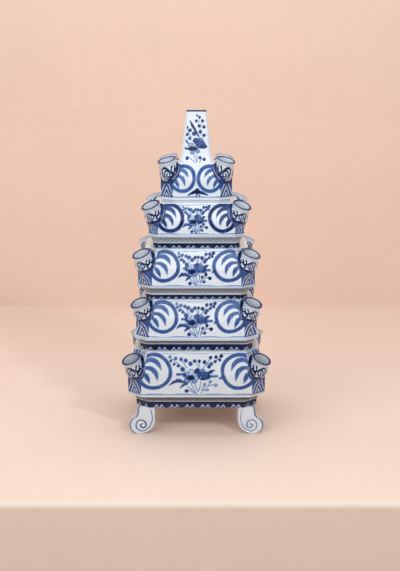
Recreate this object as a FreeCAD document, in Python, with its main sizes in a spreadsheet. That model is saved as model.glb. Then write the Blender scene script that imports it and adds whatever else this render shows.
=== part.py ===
import FreeCAD, Part
import math
import os
import Sketcher

# Flower pyramid in tin-glazed pottery: five square boxes with cut corners, stacked loose on
# each other, with a tubular flower spout on every cut corner, an open neck on the top box and
# four scroll feet under the lowest one.  Millimetres, +Z up, floor at z = 0, the stack's
# middle on the Z axis, the front towards -Y.

doc = FreeCAD.newDocument("flower_pyramid")
sheet = doc.addObject("Spreadsheet::Sheet", "dims")
row = 0


def size(alias, number):
    """Write one driving size into the sheet under its name."""
    global row
    row += 1
    sheet.set("A%d" % row, alias)
    sheet.set("B%d" % row, str(number))
    sheet.setAlias("B%d" % row, alias)


TIERS = range(1, 6)
CORNERS = ("front_left", "front_right", "back_left", "back_right")

# Clay thicknesses shared by all five tiers.
WALL = 6
LID = 6
FLOOR = 6

# Foot band, hollow and ledge under each box, from the lowest tier to the top one.
# "half" is from the middle to a side, "flat" is half the length of the side between cut corners.
BAND_HEIGHT = (11.5, 11.5, 8, 9, 3.5)
HOLLOW_HEIGHT = (12.5, 9.5, 15.5, 13, 1)
LEDGE_HEIGHT = (5.5, 5.5, 3.5, 5, 5.3)
BAND_HALF = (115.5, 106.5, 95.5, 81.7, 63)
BAND_FLAT = (92, 93.5, 84, 72.5, 41.5)
LEDGE_HALF = (129.5, 118.5, 111.5, 91.5, 66.5)
LEDGE_FLAT = (103.5, 92.5, 84.5, 72.5, 44)

# Boxes: upright up to the crease, then leaning in to the flat top.
BOX_HEIGHT = (80.5, 70, 68, 57.3, 63)
CREASE_HEIGHT = (36, 31.5, 30.5, 25.5, 34.5)
BOX_HALF = (130.7, 114.7, 110.6, 90.3, 67.7)
BOX_FLAT = (104.5, 90, 83.6, 72, 44.7)
TOP_HALF = (118, 103.1, 98.4, 79.7, 56)
TOP_FLAT = (92.1, 78.4, 71.4, 61.4, 34)

# Round opening in each lid, and the collar under the next tier that drops into it.
OPENING_RADIUS = (60, 52, 47, 38, 21)
COLLAR_DEPTH = 12
COLLAR_THICKNESS = 5
COLLAR_CLEARANCE = 1.5

# Spouts: where the axis meets the corner above the box's foot, how far the mouth stands off
# along the axis, and the lean from upright in degrees.
SPOUT_SEAT = (45.6, 43.3, 38.2, 34.6, 49)
SPOUT_REACH = (25.9, 25.5, 26.2, 23.7, 22.8)
SPOUT_LEAN = (28, 27, 27, 28, 20)
SPOUT_BORE = 14
SPOUT_LIP = 18.5
SPOUT_LIP_HEIGHT = 5
SPOUT_THROAT = 16.4
SPOUT_THROAT_DEPTH = 9
SPOUT_ROOT = 20.2
SPOUT_ROOT_DEPTH = 25
SPOUT_HEEL = 24
SPOUT_HEEL_RADIUS = 15.2
SPOUT_ROUND = 1.2
PASSAGE_CLEARANCE = 0.5

# Neck of the top tier.
NECK_HEIGHT = 98.3
NECK_FLARE_HEIGHT = 7
NECK_FLARE_HALF = 33
NECK_FLARE_FLAT = 25
NECK_HALF = 29.6
NECK_FLAT = 24.6
NECK_TOP_HALF = 18.9
NECK_TOP_FLAT = 15.6
NECK_WALL = 4.5
NECK_RIM_ROUND = 1.2

# Scroll feet: leg, ankle, volute and the flat it stands on.
FOOT_HEIGHT = 53
FOOT_INNER = 79
FOOT_LEG_WIDTH = 32
FOOT_THICKNESS = 27
FOOT_SETBACK = 3
FOOT_KNEE_HEIGHT = 26
FOOT_KNEE_RADIUS = 26
FOOT_INSTEP = 12
FOOT_INSTEP_RISE = 4.2
FOOT_SOLE_WIDTH = 9
VOLUTE_OFFSET = 33
VOLUTE_RADIUS = 16.3
ANKLE_HEIGHT = 43
ANKLE_OFFSET = 1.5
ANKLE_RADIUS = 15.5

# Every size above goes into the sheet; one that differs from tier to tier ends in the tier.
shared = dict(
    wall=WALL, lid=LID, floor=FLOOR,
    collar_depth=COLLAR_DEPTH, collar_thickness=COLLAR_THICKNESS, collar_clearance=COLLAR_CLEARANCE,
    spout_bore=SPOUT_BORE, spout_lip=SPOUT_LIP, spout_lip_height=SPOUT_LIP_HEIGHT,
    spout_throat=SPOUT_THROAT, spout_throat_depth=SPOUT_THROAT_DEPTH,
    spout_root=SPOUT_ROOT, spout_root_depth=SPOUT_ROOT_DEPTH,
    spout_heel=SPOUT_HEEL, spout_heel_radius=SPOUT_HEEL_RADIUS,
    spout_round=SPOUT_ROUND, passage_clearance=PASSAGE_CLEARANCE,
    neck_height=NECK_HEIGHT, neck_flare_height=NECK_FLARE_HEIGHT,
    neck_flare_half=NECK_FLARE_HALF, neck_flare_flat=NECK_FLARE_FLAT,
    neck_half=NECK_HALF, neck_flat=NECK_FLAT, neck_top_half=NECK_TOP_HALF,
    neck_top_flat=NECK_TOP_FLAT, neck_wall=NECK_WALL, neck_rim_round=NECK_RIM_ROUND,
    foot_height=FOOT_HEIGHT, foot_inner=FOOT_INNER, foot_leg_width=FOOT_LEG_WIDTH,
    foot_thickness=FOOT_THICKNESS, foot_setback=FOOT_SETBACK,
    foot_knee_height=FOOT_KNEE_HEIGHT, foot_knee_radius=FOOT_KNEE_RADIUS,
    foot_instep=FOOT_INSTEP, foot_instep_rise=FOOT_INSTEP_RISE, foot_sole_width=FOOT_SOLE_WIDTH,
    volute_offset=VOLUTE_OFFSET, volute_radius=VOLUTE_RADIUS,
    ankle_height=ANKLE_HEIGHT, ankle_offset=ANKLE_OFFSET, ankle_radius=ANKLE_RADIUS,
)
by_tier = dict(
    band_height=BAND_HEIGHT, hollow_height=HOLLOW_HEIGHT, ledge_height=LEDGE_HEIGHT,
    band_half=BAND_HALF, band_flat=BAND_FLAT, ledge_half=LEDGE_HALF, ledge_flat=LEDGE_FLAT,
    box_height=BOX_HEIGHT, crease_height=CREASE_HEIGHT, box_half=BOX_HALF, box_flat=BOX_FLAT,
    top_half=TOP_HALF, top_flat=TOP_FLAT, opening_radius=OPENING_RADIUS,
    spout_seat=SPOUT_SEAT, spout_reach=SPOUT_REACH, spout_lean=SPOUT_LEAN,
)
for alias, number in shared.items():
    size(alias, number)
for alias, numbers in by_tier.items():
    for tier, number in zip(TIERS, numbers):
        size("%s_%d" % (alias, tier), number)
doc.recompute()


def cell(name):
    return "dims." + name


def on_tier(pattern, tier):
    """Expression with every # turned into the tier's number and each name looked up in the sheet."""
    words = []
    for word in pattern.split():
        named = word[0].isalpha() and "(" not in word
        words.append(cell(word.replace("#", str(tier))) if named else word)
    return " ".join(words)


BASE_HEIGHT = "band_height_# + hollow_height_# + ledge_height_#"


def base_level(tier):
    """Expression for the height of the tier's underside above the floor."""
    terms = [cell("foot_height")]
    for lower in range(1, tier):
        terms.append(on_tier(BASE_HEIGHT + " + box_height_#", lower))
    return " + ".join(terms)


def box_level(tier):
    return base_level(tier) + " + " + on_tier(BASE_HEIGHT, tier)


def body_at(name, level):
    body = doc.addObject("PartDesign::Body", name)
    body.setExpression("Placement.Base.z", level)
    return body


def origin_plane(body, role):
    return [o for o in body.Origin.OriginFeatures if o.Role == role][0]


def sketch_on(body, name, role, level=None):
    sketch = body.newObject("Sketcher::SketchObject", name)
    sketch.AttachmentSupport = (origin_plane(body, role), [""])
    sketch.MapMode = "FlatFace"
    if level:
        sketch.setExpression("AttachmentOffset.Base.z", level)
    return sketch


def bind(sketch, kind, first, second, expression, start):
    """A distance between two points, each (geometry, end), held by an expression."""
    index = sketch.addConstraint(Sketcher.Constraint(kind, *first, *second, start))
    sketch.setExpression("Constraints[%d]" % index, expression)


ORIGIN = (-1, 1)
ACROSS = -1
UPWARD = -2


def cut_square(body, name, level, half, flat):
    """Sketch of a square with cut corners, the same on all four sides, at a height."""
    sketch = sketch_on(body, name, "XY_Plane", level)
    corners = [(60, -80), (80, -60), (80, 60), (60, 80), (-60, 80), (-80, 60), (-80, -60), (-60, -80)]
    points = [FreeCAD.Vector(x, y, 0) for x, y in corners]
    for i in range(8):
        sketch.addGeometry(Part.LineSegment(points[i], points[(i + 1) % 8]), False)
    for i in range(8):
        sketch.addConstraint(Sketcher.Constraint("Coincident", i, 2, (i + 1) % 8, 1))
    for a, b, axis in ((0, 7, UPWARD), (3, 4, UPWARD), (1, 6, UPWARD), (0, 3, ACROSS), (1, 2, ACROSS), (6, 5, ACROSS)):
        sketch.addConstraint(Sketcher.Constraint("Symmetric", a, 1, b, 1, axis))
    bind(sketch, "DistanceX", ORIGIN, (0, 1), flat, 60)
    bind(sketch, "DistanceY", (0, 1), ORIGIN, half, 80)
    bind(sketch, "DistanceX", ORIGIN, (1, 1), half, 80)
    bind(sketch, "DistanceY", (1, 1), ORIGIN, flat, 60)
    return sketch


def loft(body, kind, name, sections):
    """Straight-ruled loft through cut squares given as (level, half, flat)."""
    sketches = []
    for i, (level, half, flat) in enumerate(sections):
        sketches.append(cut_square(body, "%s_section_%d" % (name, i + 1), level, half, flat))
    feature = body.newObject("PartDesign::" + kind, name)
    feature.Profile = sketches[0]
    feature.Sections = sketches[1:]
    feature.Ruled = True
    return feature


def ring(body, name, level, outer, inner=None):
    """Sketch of one circle, or of two with clay between them."""
    sketch = sketch_on(body, name, "XY_Plane", level)
    for i, radius in enumerate([outer] if inner is None else [outer, inner]):
        start = 20 - 5 * i
        sketch.addGeometry(Part.Circle(FreeCAD.Vector(0, 0, 0), FreeCAD.Vector(0, 0, 1), start), False)
        sketch.addConstraint(Sketcher.Constraint("Coincident", i, 3, *ORIGIN))
        index = sketch.addConstraint(Sketcher.Constraint("Radius", i, start))
        sketch.setExpression("Constraints[%d]" % index, radius)
    return sketch


# Base of a tier: a press-moulded tray with foot band, hollow, ledge and floor.  The hollow
# swings out to the ledge in three straight steps.  Tiers two to five have a collar below.
HOLLOW_STEPS = ((0.5, 0.18), (0.85, 0.6))


def hollow_section(tier, up, out, inset=""):
    z = on_tier("band_height_# + hollow_height_# * %s" % up, tier)
    half = on_tier("band_half_# + ( ledge_half_# - band_half_# ) * %s" % out, tier)
    flat = on_tier("band_flat_# + ( ledge_flat_# - band_flat_# ) * %s" % out, tier)
    if inset:
        half += " - " + cell("wall")
        flat += " - " + cell("wall") + " * tan(22.5)"
    return z, half, flat


def tier_base(tier):
    name = "tier_%d_base" % tier
    body = body_at(name, base_level(tier))
    top = on_tier(BASE_HEIGHT, tier)
    outer = [("0", on_tier("band_half_#", tier), on_tier("band_flat_#", tier))]
    outer.append((on_tier("band_height_#", tier),) + outer[0][1:])
    outer += [hollow_section(tier, up, out) for up, out in HOLLOW_STEPS]
    outer.append(hollow_section(tier, 1, 1))
    outer.append((top, on_tier("ledge_half_#", tier), on_tier("ledge_flat_#", tier)))
    loft(body, "AdditiveLoft", name + "_outside", outer)
    if tier < 5:
        inset_half = on_tier("band_half_# - wall", tier)
        inset_flat = on_tier("band_flat_# - wall * tan(22.5)", tier)
        inner = [(cell("floor"), inset_half, inset_flat)]
        inner.append((on_tier("band_height_#", tier), inset_half, inset_flat))
        inner += [hollow_section(tier, up, out, "inset") for up, out in HOLLOW_STEPS]
        inner.append((top, on_tier("box_half_# - wall", tier), on_tier("box_flat_# - wall * tan(22.5)", tier)))
        loft(body, "SubtractiveLoft", name + "_inside", inner)
    if tier > 1:
        outer_radius = on_tier("opening_radius_# - collar_clearance", tier - 1)
        inner_radius = outer_radius + " - " + cell("collar_thickness")
        collar = body.newObject("PartDesign::Pad", name + "_collar")
        collar.Profile = ring(body, name + "_collar_ring", None, outer_radius, inner_radius)
        collar.setExpression("Length", cell("collar_depth"))
        collar.Reversed = True
    return body


# Box of a tier: the outside form, less the water space, the lid's opening and four passages.
def box_sections(tier):
    return [
        ("0", on_tier("box_half_#", tier), on_tier("box_flat_#", tier)),
        (on_tier("crease_height_#", tier), on_tier("box_half_#", tier), on_tier("box_flat_#", tier)),
        (on_tier("box_height_#", tier), on_tier("top_half_#", tier), on_tier("top_flat_#", tier)),
    ]


def under_lid(bottom, top):
    """Expression for a half-width of the box where the underside of the lid meets the wall."""
    run = "( box_height_# - crease_height_# )"
    return "%s + ( %s - %s ) * lid / %s" % (top, bottom, top, run)


def water_space(tier):
    half = on_tier("box_half_# - wall", tier)
    flat = on_tier("box_flat_# - wall * tan(22.5)", tier)
    lid_half = on_tier(under_lid("box_half_#", "top_half_#") + " - wall", tier)
    lid_flat = on_tier(under_lid("box_flat_#", "top_flat_#") + " - wall * tan(22.5)", tier)
    return [
        ("0", half, flat),
        (on_tier("crease_height_#", tier), half, flat),
        (on_tier("box_height_# - lid", tier), lid_half, lid_flat),
    ]


def corner_at_seat(tier):
    """Expression for x = y of the middle of a cut corner at the height of the spout's seat."""
    rise = "( spout_seat_# - crease_height_# ) / ( box_height_# - crease_height_# )"
    lean = "( top_half_# + top_flat_# - box_half_# - box_flat_# )"
    return on_tier("( box_half_# + box_flat_# + %s * %s ) / 2" % (lean, rise), tier)


def spout_point(tier, outward):
    """Expressions for a point on the front left spout's axis, a distance outward of its seat."""
    lean = cell("spout_lean_%d" % tier)
    side = "-(%s) - (%s) * sin(%s) * cos(45)" % (corner_at_seat(tier), outward, lean)
    level = "%s + %s + (%s) * cos(%s)" % (box_level(tier), cell("spout_seat_%d" % tier), outward, lean)
    return side, level


def inside_seat(tier):
    """How far a spout's bore runs on inside its seat before it would leave the box's foot."""
    lean = cell("spout_lean_%d" % tier)
    drop = "%s * sin(%s)" % (cell("spout_bore"), lean)
    return "(%s - %s) / cos(%s) - 1" % (cell("spout_seat_%d" % tier), drop, lean)


LEAN_AXIS = FreeCAD.Vector(1, -1, 0)


def lean_out(shape, tier, outward):
    """Stand an upright shape on the front left spout's axis, leaning away from the middle."""
    side, level = spout_point(tier, outward)
    shape.Placement = FreeCAD.Placement(FreeCAD.Vector(), FreeCAD.Rotation(LEAN_AXIS, 20))
    shape.setExpression("Placement.Base.x", side)
    shape.setExpression("Placement.Base.y", side)
    shape.setExpression("Placement.Base.z", level)
    shape.setExpression("Placement.Rotation.Angle", cell("spout_lean_%d" % tier))


def cylinder(name, radius, height):
    shape = doc.addObject("Part::Cylinder", name)
    shape.setExpression("Radius", radius)
    shape.setExpression("Height", height)
    return shape


def cut(name, base, tool):
    shape = doc.addObject("Part::Cut", name)
    shape.Base = base
    shape.Tool = tool
    return shape


def mirror(name, source, normal):
    shape = doc.addObject("Part::Mirroring", name)
    shape.Source = source
    shape.Normal = normal
    return shape


SIDE_TO_SIDE = FreeCAD.Vector(1, 0, 0)
FRONT_TO_BACK = FreeCAD.Vector(0, 1, 0)


def four_corners(prefix, front_left, suffix=""):
    """The front left piece and its three mirror images, one per corner."""
    names = ["%s_%s%s" % (prefix, corner, suffix) for corner in CORNERS]
    front_right = mirror(names[1], front_left, SIDE_TO_SIDE)
    back_left = mirror(names[2], front_left, FRONT_TO_BACK)
    back_right = mirror(names[3], front_right, FRONT_TO_BACK)
    return dict(zip(names, (front_left, front_right, back_left, back_right)))


def tier_box(tier, form):
    name = "tier_%d_box" % tier
    space = body_at(name + "_space", box_level(tier))
    loft(space, "AdditiveLoft", name + "_space_loft", water_space(tier))
    opening = cylinder(name + "_opening", cell("opening_radius_%d" % tier), on_tier("box_height_#", tier))
    opening.setExpression("Placement.Base.z", box_level(tier) + " + " + cell("lid"))
    length = inside_seat(tier) + " + " + cell("spout_reach_%d" % tier)
    passage = cylinder(name + "_passage", on_tier("spout_bore + passage_clearance", tier), length)
    lean_out(passage, tier, "-(%s)" % inside_seat(tier))
    passages = four_corners(name + "_passage", passage)
    tools = doc.addObject("Part::MultiFuse", name + "_openings")
    tools.Shapes = [opening] + list(passages.values())
    return cut(name, cut(name + "_shell", form, space), tools)


# Spout: thrown on the wheel with a rolled lip, a slight throat and a root that widens and then
# narrows to a heel, cut to the corner it is luted onto.  Its profile hangs down from the mouth.
def spout_profile(body, name, tier):
    sketch = sketch_on(body, name, "XZ_Plane")
    lip, throat, root = cell("spout_lip"), cell("spout_throat"), cell("spout_root")
    round_off = cell("spout_round")
    heel = cell("spout_heel_radius")
    bottom = on_tier("spout_reach_# + spout_heel", tier)
    length = SPOUT_REACH[tier - 1] + SPOUT_HEEL
    points = [
        (0, 0, "0", "0"),
        (SPOUT_LIP - SPOUT_ROUND, 0, lip + " - " + round_off, "0"),
        (SPOUT_LIP, -SPOUT_ROUND, lip, round_off),
        (SPOUT_LIP, SPOUT_ROUND - SPOUT_LIP_HEIGHT, lip, cell("spout_lip_height") + " - " + round_off),
        (SPOUT_THROAT, -SPOUT_THROAT_DEPTH, throat, cell("spout_throat_depth")),
        (SPOUT_ROOT, -SPOUT_ROOT_DEPTH, root, cell("spout_root_depth")),
        (SPOUT_HEEL_RADIUS, -length, heel, bottom),
        (0, -length, "0", bottom),
    ]
    count = len(points)
    for i in range(count):
        a, b = points[i], points[(i + 1) % count]
        line = Part.LineSegment(FreeCAD.Vector(a[0], a[1], 0), FreeCAD.Vector(b[0], b[1], 0))
        sketch.addGeometry(line, False)
    for i in range(count):
        sketch.addConstraint(Sketcher.Constraint("Coincident", i, 2, (i + 1) % count, 1))
    sketch.addConstraint(Sketcher.Constraint("Coincident", 0, 1, *ORIGIN))
    sketch.addConstraint(Sketcher.Constraint("Vertical", count - 1))
    for i in range(1, count):
        x, y, radius, depth = points[i]
        if i < count - 1:
            bind(sketch, "DistanceX", ORIGIN, (i, 1), radius, x)
        if i == 1:
            sketch.addConstraint(Sketcher.Constraint("Horizontal", 0))
        else:
            bind(sketch, "DistanceY", (i, 1), ORIGIN, depth, -y)
    return sketch


def tier_spouts(tier, form):
    name = "tier_%d_spout" % tier
    blank = doc.addObject("PartDesign::Body", name + "_blank")
    turned = blank.newObject("PartDesign::Revolution", name + "_turned")
    turned.Profile = spout_profile(blank, name + "_profile", tier)
    turned.ReferenceAxis = (turned.Profile[0], ["V_Axis"])
    turned.Angle = 360
    lean_out(blank, tier, cell("spout_reach_%d" % tier))
    length = inside_seat(tier) + " + " + on_tier("spout_reach_# + spout_lip", tier)
    bore = cylinder(name + "_bore", cell("spout_bore"), length)
    lean_out(bore, tier, "-(%s)" % inside_seat(tier))
    seated = cut(name + "_seated", blank, form)
    return four_corners(name, cut(name + "_front_left", seated, bore))


def form_of(tier):
    """The solid outside of a tier's box, which also cuts the spouts to its corners."""
    body = body_at("tier_%d_form" % tier, box_level(tier))
    loft(body, "AdditiveLoft", "tier_%d_form_loft" % tier, box_sections(tier))
    return body


# Neck of the top tier: a tall hollow square taper, open at the top, flared where it is luted on.
def neck_piece():
    body = body_at("tier_5_neck", box_level(5) + " + " + cell("box_height_5"))
    top = cell("neck_height")
    rim = cell("neck_rim_round")
    half, flat = cell("neck_top_half"), cell("neck_top_flat")
    outer = [
        ("0", cell("neck_flare_half"), cell("neck_flare_flat")),
        (cell("neck_flare_height"), cell("neck_half"), cell("neck_flat")),
        (top + " - " + rim, half, flat),
        (top, half + " - " + rim, flat + " - " + rim + " * tan(22.5)"),
    ]
    loft(body, "AdditiveLoft", "tier_5_neck_outside", outer)
    thin, thin_flat = " - " + cell("neck_wall"), " - " + cell("neck_wall") + " * tan(22.5)"
    inner = [
        ("0", cell("neck_half") + thin, cell("neck_flat") + thin_flat),
        (cell("neck_flare_height"), cell("neck_half") + thin, cell("neck_flat") + thin_flat),
        (top, half + thin, flat + thin_flat),
    ]
    loft(body, "SubtractiveLoft", "tier_5_neck_inside", inner)
    return body


# Scroll foot: a leg that swings out into a rolled volute, cut from a slab and luted under the
# lowest base.  Drawn for the right side and mirrored.
def arc(centre, radius, first, last):
    """Arc about a centre, counter-clockwise from one point's bearing to the other's."""
    start, end = (math.atan2(point[1] - centre[1], point[0] - centre[0]) for point in (first, last))
    if end < start:
        end += 2 * math.pi
    circle = Part.Circle(FreeCAD.Vector(centre[0], centre[1], 0), FreeCAD.Vector(0, 0, 1), radius)
    return Part.ArcOfCircle(circle, start, end)


def segment(a, b):
    return Part.LineSegment(FreeCAD.Vector(a[0], a[1], 0), FreeCAD.Vector(b[0], b[1], 0))


def foot_outline(body):
    sketch = sketch_on(body, "foot_outline", "XZ_Plane")
    inner, radius = cell("foot_inner"), cell("volute_radius")
    outer = inner + " + " + cell("foot_leg_width")
    centre = inner + " + " + cell("volute_offset")
    head = (FOOT_INNER, FOOT_HEIGHT)
    knee = (FOOT_INNER, FOOT_KNEE_HEIGHT)
    instep = (FOOT_INNER + FOOT_INSTEP, FOOT_INSTEP_RISE)
    volute = (FOOT_INNER + VOLUTE_OFFSET, VOLUTE_RADIUS)
    sole = (volute[0] - FOOT_SOLE_WIDTH, 0)
    toe = (volute[0], 0)
    scroll = (volute[0] + VOLUTE_RADIUS * math.cos(math.pi / 3), VOLUTE_RADIUS * (1 + math.sin(math.pi / 3)))
    back = (FOOT_INNER + FOOT_LEG_WIDTH, FOOT_HEIGHT)
    ankle = (back[0] + ANKLE_OFFSET, ANKLE_HEIGHT)
    edges = [
        segment(head, knee),
        arc((knee[0] + FOOT_KNEE_RADIUS, knee[1]), FOOT_KNEE_RADIUS, knee, instep),
        segment(instep, sole),
        segment(sole, toe),
        arc(volute, VOLUTE_RADIUS, toe, scroll),
        arc((ankle[0] + ANKLE_RADIUS, ankle[1]), ANKLE_RADIUS, ankle, scroll),
        segment(ankle, back),
        segment(back, head),
    ]
    sketch.addGeometry(edges, False)
    joined = (((0, 2), (1, 1)), ((1, 2), (2, 1)), ((2, 2), (3, 1)), ((3, 2), (4, 1)))
    joined += (((4, 2), (5, 2)), ((5, 1), (6, 1)), ((6, 2), (7, 1)), ((7, 2), (0, 1)))
    for first, second in joined:
        sketch.addConstraint(Sketcher.Constraint("Coincident", *first, *second))
    sketch.addConstraint(Sketcher.Constraint("Vertical", 0))
    sketch.addConstraint(Sketcher.Constraint("Horizontal", 7))
    sketch.addConstraint(Sketcher.Constraint("Horizontal", 3))
    sketch.addConstraint(Sketcher.Constraint("Vertical", 4, 1, 4, 3))
    bind(sketch, "DistanceX", ORIGIN, (0, 1), inner, head[0])
    bind(sketch, "DistanceY", ORIGIN, (0, 1), cell("foot_height"), head[1])
    bind(sketch, "DistanceY", ORIGIN, (0, 2), cell("foot_knee_height"), knee[1])
    bind(sketch, "DistanceX", ORIGIN, (2, 1), inner + " + " + cell("foot_instep"), instep[0])
    bind(sketch, "DistanceY", ORIGIN, (2, 1), cell("foot_instep_rise"), instep[1])
    bind(sketch, "DistanceX", ORIGIN, (3, 1), centre + " - " + cell("foot_sole_width"), sole[0])
    bind(sketch, "DistanceX", ORIGIN, (4, 3), centre, volute[0])
    bind(sketch, "DistanceY", ORIGIN, (4, 3), radius, volute[1])
    bind(sketch, "DistanceX", (4, 3), (4, 2), radius + " * cos(60)", scroll[0] - volute[0])
    bind(sketch, "DistanceX", ORIGIN, (6, 1), outer + " + " + cell("ankle_offset"), ankle[0])
    bind(sketch, "DistanceY", ORIGIN, (6, 1), cell("ankle_height"), ankle[1])
    bind(sketch, "DistanceX", ORIGIN, (6, 2), outer, back[0])
    for edge in (1, 4, 5):
        name = {1: "foot_knee_radius", 4: "volute_radius", 5: "ankle_radius"}[edge]
        index = sketch.addConstraint(Sketcher.Constraint("Radius", edge, shared[name]))
        sketch.setExpression("Constraints[%d]" % index, cell(name))
    return sketch


def foot_pieces():
    body = doc.addObject("PartDesign::Body", "foot_front_right")
    slab = body.newObject("PartDesign::Pad", "foot_slab")
    slab.Profile = foot_outline(body)
    slab.setExpression("Length", cell("foot_thickness"))
    slab.Reversed = True
    front = "-(%s)" % on_tier("band_half_1 - foot_setback", 1)
    body.setExpression("Placement.Base.y", front)
    front_left = mirror("foot_front_left", body, SIDE_TO_SIDE)
    back_right = mirror("foot_back_right", body, FRONT_TO_BACK)
    back_left = mirror("foot_back_left", front_left, FRONT_TO_BACK)
    pieces = (front_left, body, back_left, back_right)
    return dict(zip(["foot_" + corner for corner in CORNERS], pieces))


# The whole stack, from the feet up.
pieces = foot_pieces()
for tier in TIERS:
    pieces["tier_%d_base" % tier] = tier_base(tier)
    form = form_of(tier)
    pieces["tier_%d_box" % tier] = tier_box(tier, form)
    pieces.update(tier_spouts(tier, form))
pieces["tier_5_neck"] = neck_piece()
for label, piece in pieces.items():
    piece.Label = label
doc.recompute()

for thing in doc.Objects:
    if "Invalid" in thing.State or "Error" in thing.State:
        raise RuntimeError("%s did not compute: %s" % (thing.Label, thing.State))
for label, piece in pieces.items():
    shape = piece.Shape
    if shape.isNull() or not shape.isValid() or len(shape.Solids) != 1:
        raise RuntimeError("%s is not one sound solid" % label)

os.makedirs("parts", exist_ok=True)
for label, piece in pieces.items():
    piece.Shape.exportStep("parts/%s.step" % label)
    print("%-26s %9.0f mm3" % (label, piece.Shape.Volume))
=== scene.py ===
import math
import bpy
import numpy as np
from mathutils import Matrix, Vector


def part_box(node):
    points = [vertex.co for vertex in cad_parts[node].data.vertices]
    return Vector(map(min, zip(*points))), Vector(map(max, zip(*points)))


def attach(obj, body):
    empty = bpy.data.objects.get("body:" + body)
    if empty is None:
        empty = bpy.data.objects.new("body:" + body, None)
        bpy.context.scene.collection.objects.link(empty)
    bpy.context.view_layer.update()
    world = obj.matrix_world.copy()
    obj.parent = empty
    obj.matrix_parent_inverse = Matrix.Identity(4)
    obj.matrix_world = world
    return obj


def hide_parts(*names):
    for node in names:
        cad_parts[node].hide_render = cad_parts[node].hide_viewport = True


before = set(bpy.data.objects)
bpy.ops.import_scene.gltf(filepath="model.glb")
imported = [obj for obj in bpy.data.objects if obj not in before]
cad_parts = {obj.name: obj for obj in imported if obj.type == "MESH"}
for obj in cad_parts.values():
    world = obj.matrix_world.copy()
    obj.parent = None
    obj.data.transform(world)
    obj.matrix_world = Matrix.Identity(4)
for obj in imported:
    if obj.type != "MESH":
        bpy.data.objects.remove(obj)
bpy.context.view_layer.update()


# Glaze. The pottery is buff clay under an opaque white tin glaze, painted in cobalt before the
# firing, so the blue sinks in, runs paler where the brush was dry and pools at a stroke's rim.
# Every point of a piece says how much cobalt, how much grey and how little glaze lies there; the
# grey is partly grey ornament and partly painted shade.
MARKS = ("cobalt", "grey", "thin")
COBALT_WASHES = (
    (0.00, (1.0, 1.0, 1.0)),
    (0.12, (0.72, 0.80, 0.92)),
    (0.30, (0.30, 0.43, 0.70)),
    (0.60, (0.050, 0.125, 0.37)),
    (0.85, (0.010, 0.021, 0.12)),
    (1.00, (0.003, 0.005, 0.028)),
)


def clouding_group():
    """Noise of a Scale and Detail, read at the piece's own place times Stretch.

    The piece's own place keeps it with the clay in every pose."""
    group = bpy.data.node_groups.new("clouding", "ShaderNodeTree")
    for name, kind in (("Scale", "Float"), ("Detail", "Float"), ("Stretch", "Vector")):
        group.interface.new_socket(name, in_out="INPUT", socket_type="NodeSocket" + kind)
    group.interface.new_socket("Cloud", in_out="OUTPUT", socket_type="NodeSocketFloat")
    given, made = group.nodes.new("NodeGroupInput"), group.nodes.new("NodeGroupOutput")
    place = group.nodes.new("ShaderNodeTexCoord")
    spread = group.nodes.new("ShaderNodeMapping")
    noise = group.nodes.new("ShaderNodeTexNoise")
    group.links.new(place.outputs["Object"], spread.inputs["Vector"])
    group.links.new(given.outputs["Stretch"], spread.inputs["Scale"])
    group.links.new(spread.outputs["Vector"], noise.inputs["Vector"])
    group.links.new(given.outputs["Scale"], noise.inputs["Scale"])
    group.links.new(given.outputs["Detail"], noise.inputs["Detail"])
    group.links.new(noise.outputs["Fac"], made.inputs["Cloud"])
    return group


clouding = clouding_group()


def cloud(material, scale, detail, stretch=(1, 1, 1)):
    """The clouding group placed in one material, with that material's own values."""
    node = material.node_tree.nodes.new("ShaderNodeGroup")
    node.node_tree = clouding
    for name, value in (("Scale", scale), ("Detail", detail), ("Stretch", stretch)):
        node.inputs[name].default_value = value
    return node.outputs["Cloud"]


def calculate(material, operation, *values):
    """One math node; each value is a number or the output of another node."""
    nodes, links = material.node_tree.nodes, material.node_tree.links
    node = nodes.new("ShaderNodeMath")
    node.operation = operation
    for socket, value in zip(node.inputs, values):
        if isinstance(value, (int, float)):
            socket.default_value = value
        else:
            links.new(value, socket)
    return node.outputs["Value"]


def blend(material, share, first, second, way="MIX"):
    """One colour node: the first colour becomes the second by a share, or is multiplied by it."""
    nodes, links = material.node_tree.nodes, material.node_tree.links
    node = nodes.new("ShaderNodeMix")
    node.data_type = "RGBA"
    node.blend_type = way
    for index, value in ((0, share), (6, first), (7, second)):
        if isinstance(value, tuple):
            node.inputs[index].default_value = value + (1,)
        elif isinstance(value, (int, float)):
            node.inputs[index].default_value = value
        else:
            links.new(value, node.inputs[index])
    return node.outputs[2]


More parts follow.
